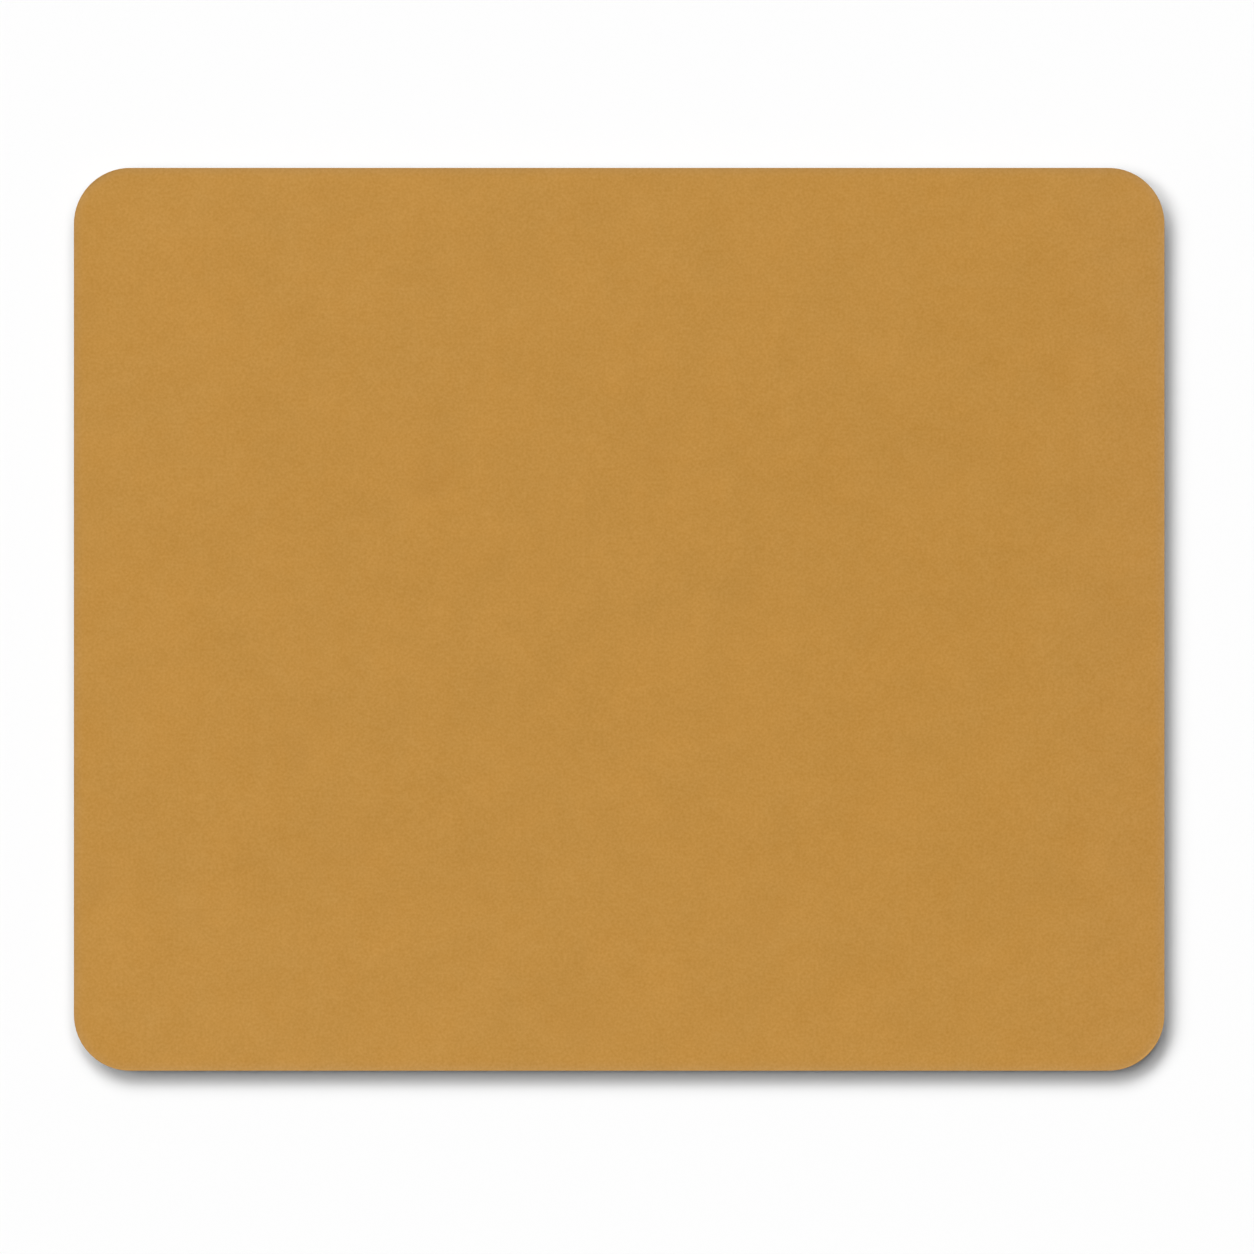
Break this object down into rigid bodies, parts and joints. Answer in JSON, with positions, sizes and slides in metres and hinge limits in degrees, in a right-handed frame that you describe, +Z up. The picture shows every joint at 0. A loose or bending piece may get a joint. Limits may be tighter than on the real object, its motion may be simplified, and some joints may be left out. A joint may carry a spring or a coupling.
{
  "type": "mouse pad",
  "caption": "Thin rectangular mouse pad with rounded corners: a soft ochre cloth surface on a dark sponge rubber core, with a ribbed non-slip rubber underside that grips the desk.",
  "frame": {"origin": "middle of the underside, on the desk", "axes": "+X along the long side, +Y along the short side away from the user, +Z up through the layers to the working cloth"},
  "size_m": [0.23, 0.1904, 0.003],
  "materials": {
    "ochre_cloth": "matt dyed cloth with a fine suede-like nap and faint cloudy shading",
    "hot_melt_film": "pale translucent adhesive film, seen only as a thin line at the edge",
    "sponge_rubber": "matt charcoal sponge with small open cells on the cut edge",
    "grip_rubber": "dense dark rubber with a satin moulded herringbone tread"
  },
  "bodies": {
    "root": {"surface_cloth": "ochre_cloth", "bond_film": "hot_melt_film", "foam_core": "sponge_rubber", "grip_base": "grip_rubber"}
  },
  "joints": []
}
